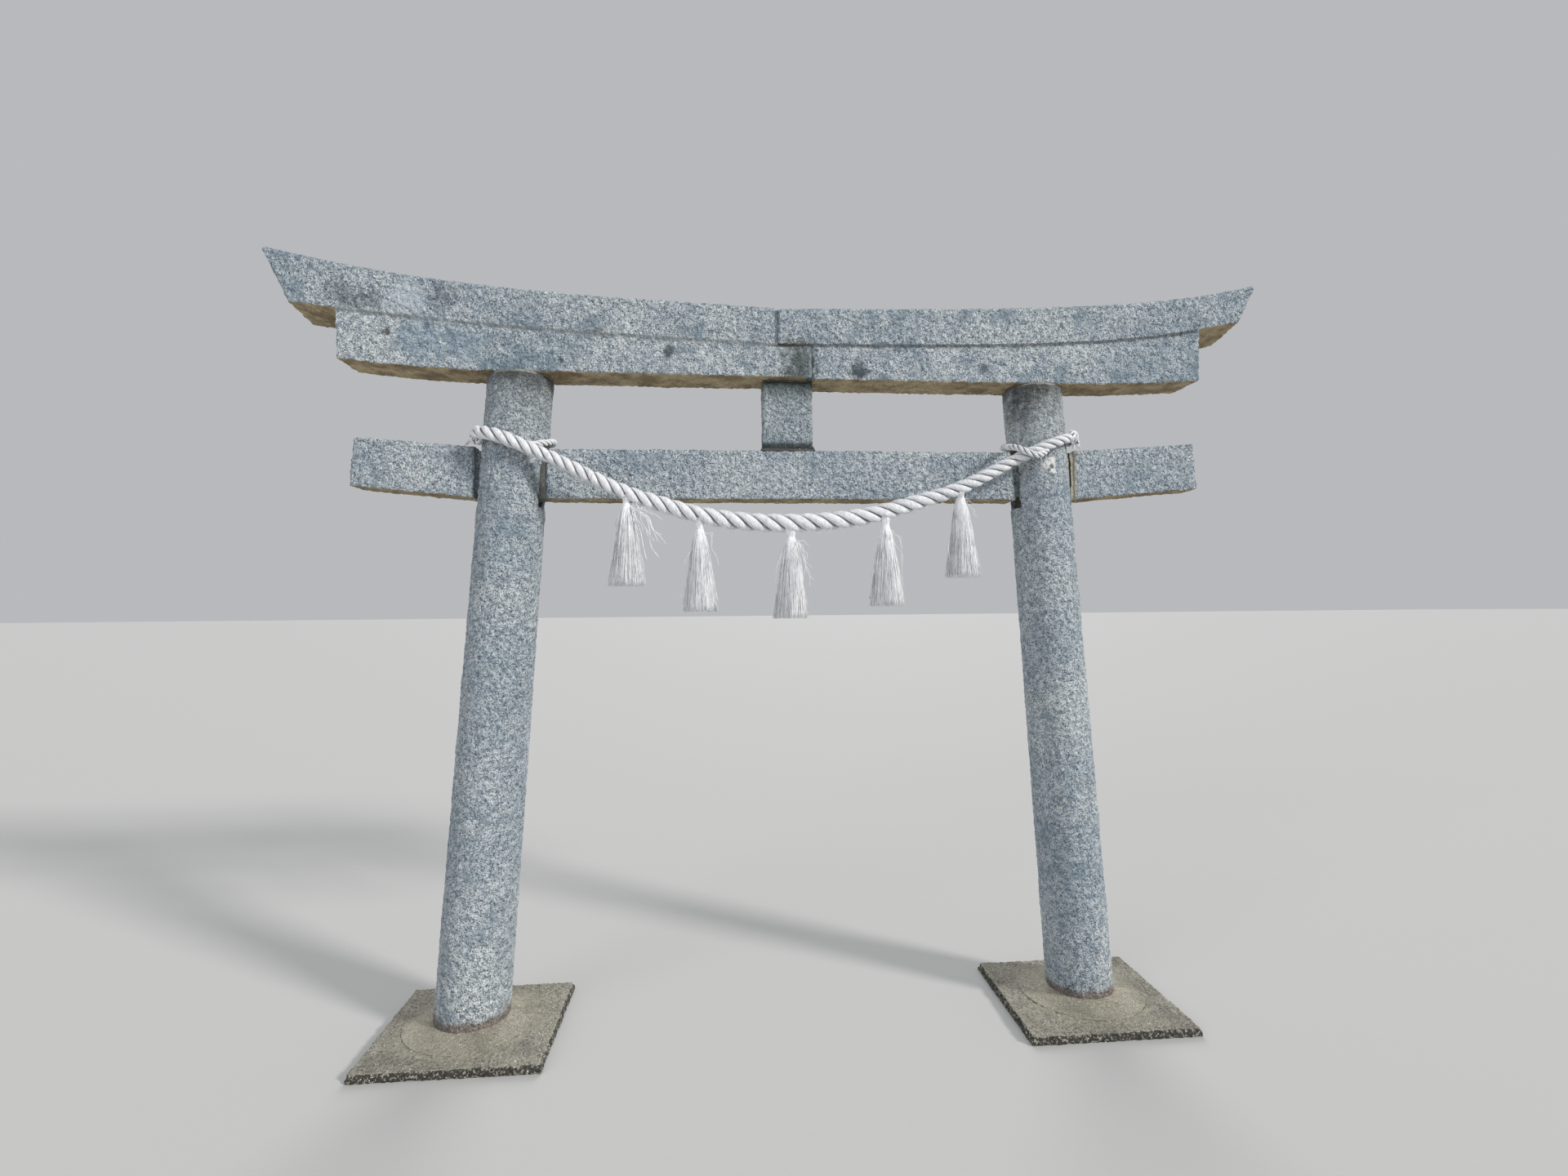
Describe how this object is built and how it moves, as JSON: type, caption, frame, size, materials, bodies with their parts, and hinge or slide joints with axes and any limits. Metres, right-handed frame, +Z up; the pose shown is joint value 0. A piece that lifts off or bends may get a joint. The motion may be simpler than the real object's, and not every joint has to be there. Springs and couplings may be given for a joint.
{
  "type": "torii gate",
  "caption": "Granite torii gate with leaning round pillars on low plinths, tenoned tie beam, centre strut, upswept lintel and a hung straw rope with tassels.",
  "frame": {"origin": "on the floor under the plinths, midway between the lintel's two tips and midway through the gate's depth", "axes": "+X along the gate to the viewer's right, -Y is the front that carries the rope, +Z up"},
  "size_m": [3.952, 0.598, 3.013],
  "materials": {
    "granite": "bush-hammered, weathered",
    "mortar": "matte, weathered",
    "concrete": "exposed aggregate",
    "rope": "matte fibre",
    "tassel": "matte fibre"
  },
  "bodies": {
    "root": {"left_plinth": "concrete", "right_plinth": "concrete", "left_foot_mortar": "mortar", "right_foot_mortar": "mortar", "left_pillar": "granite", "right_pillar": "granite", "tie_beam": "granite", "tie_beam_left_end": "granite", "tie_beam_right_end": "granite", "left_mortise_bed": "mortar", "right_mortise_bed": "mortar", "left_mortise_pointing": "mortar", "right_mortise_pointing": "mortar", "strut": "granite", "strut_foot_mortar": "mortar", "strut_head_mortar": "mortar", "left_lintel": "granite", "right_lintel": "granite", "lintel_joint_mortar": "mortar", "left_head_mortar": "mortar", "right_head_mortar": "mortar", "rope_span": "rope", "left_rope_wrap": "rope", "right_rope_wrap": "rope", "left_rope_knot": "rope", "right_rope_knot": "rope", "tassel_1_tie": "rope", "tassel_2_tie": "rope", "tassel_3_tie": "rope", "tassel_4_tie": "rope", "tassel_5_tie": "rope", "tassel_1": "tassel", "tassel_2": "tassel", "tassel_3": "tassel", "tassel_4": "tassel", "tassel_5": "tassel"}
  },
  "joints": []
}
